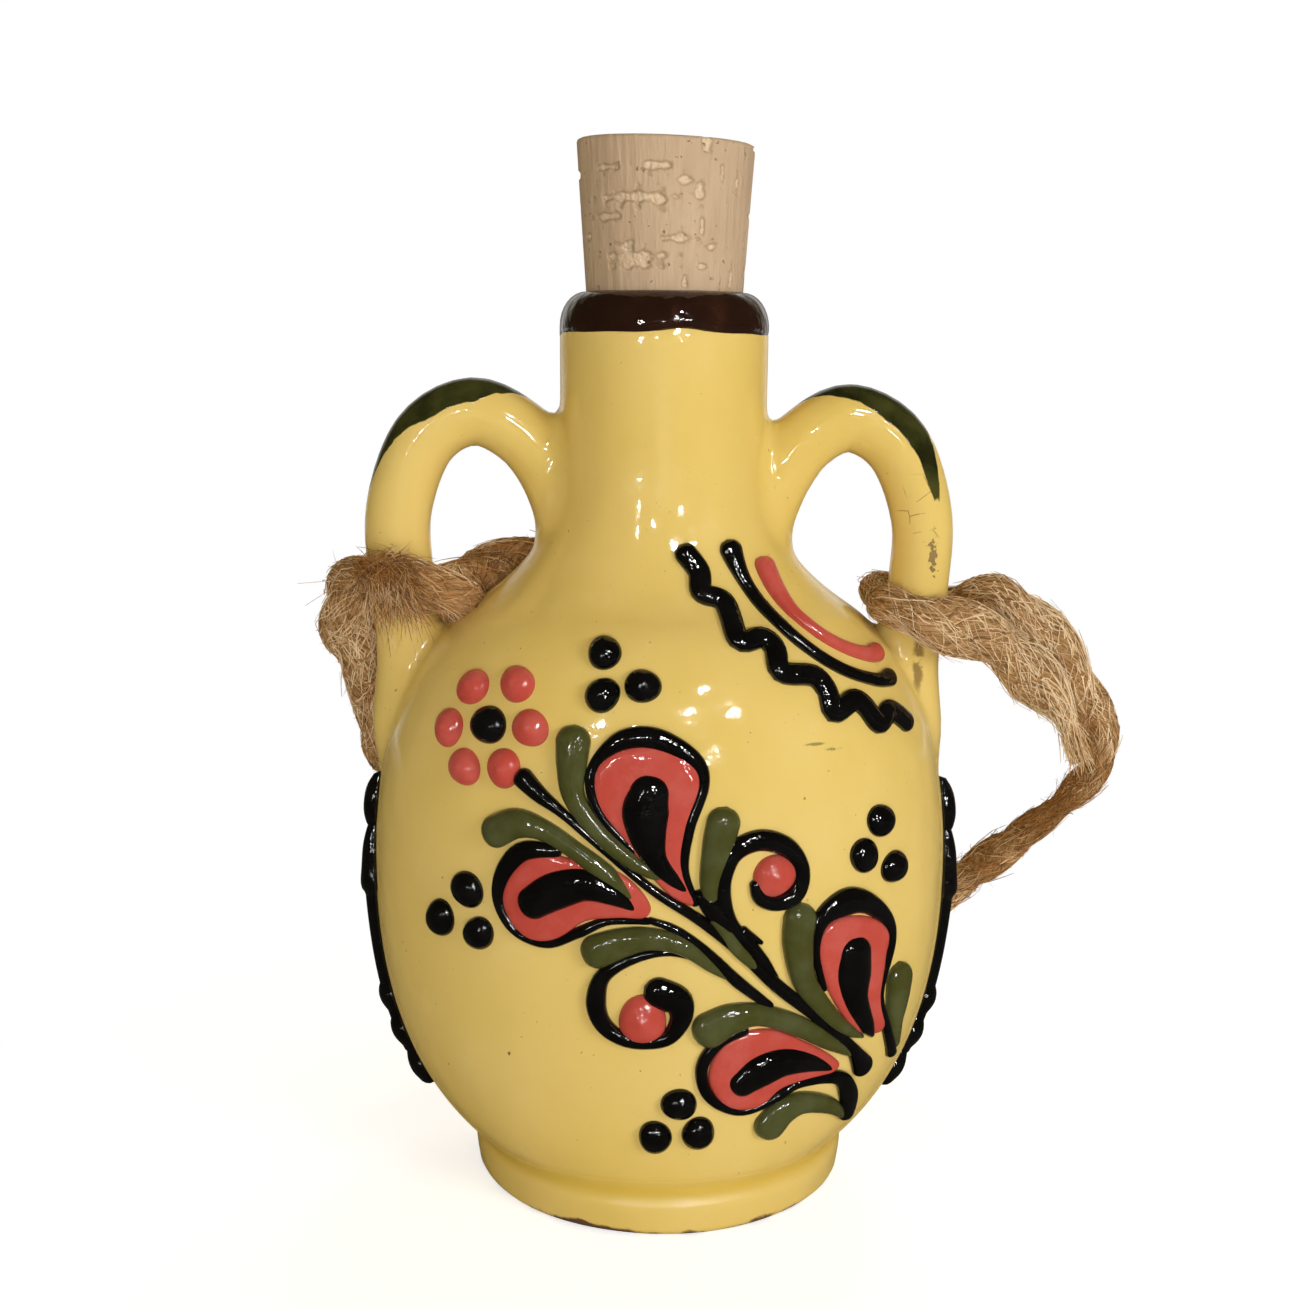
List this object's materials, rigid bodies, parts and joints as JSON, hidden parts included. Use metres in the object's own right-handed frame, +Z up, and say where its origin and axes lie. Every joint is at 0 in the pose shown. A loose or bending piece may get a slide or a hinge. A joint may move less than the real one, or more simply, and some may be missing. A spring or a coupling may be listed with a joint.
{
  "type": "ceramic bottle",
  "caption": "Flattened yellow-glazed ceramic flask with a foot ring, two loop handles, raised slip flower ornament, a pull-out cork and a jute carrying rope.",
  "frame": {"origin": "middle of the foot at the table, on the axis of the neck", "axes": "+Z up along the neck, +X towards the right handle seen from the decorated front, -Y out of the decorated front"},
  "size_m": [0.1182, 0.0836, 0.15],
  "materials": {
    "yellow_glaze": "glossy transparent glaze over yellow slip, with small specks and pinholes",
    "brown_glaze": "glossy dark-brown dipped glaze",
    "black_slip": "glossy raised slip",
    "red_slip": "glossy raised slip",
    "green_slip": "glossy raised slip",
    "cork": "natural matt cork with dark pores",
    "jute": "loosely laid hairy jute"
  },
  "bodies": {
    "flask": {"body": "yellow_glaze", "neck": "yellow_glaze", "lip_glaze": "brown_glaze", "foot_ring": "yellow_glaze", "left_handle": "yellow_glaze", "right_handle": "yellow_glaze", "stem": "black_slip", "leaves": "green_slip", "drop_outlines": "black_slip", "drop_fills": "red_slip", "drop_cores": "black_slip", "curls": "black_slip", "berries": "red_slip", "flower_petals": "red_slip", "flower_eye": "black_slip", "dot_clusters": "black_slip", "shoulder_wave": "black_slip", "shoulder_line": "black_slip", "shoulder_red_line": "red_slip", "left_sprig": "black_slip", "right_sprig": "black_slip", "left_hitch": "jute", "carry_cord": "jute", "right_hitch": "jute"},
    "cork": {"cork": "cork"}
  },
  "joints": [
    {"name": "cork_pull", "type": "slide", "parent": "flask", "child": "cork", "axis": [0, 0, 1], "range_m": [0, 0.06]}
  ]
}
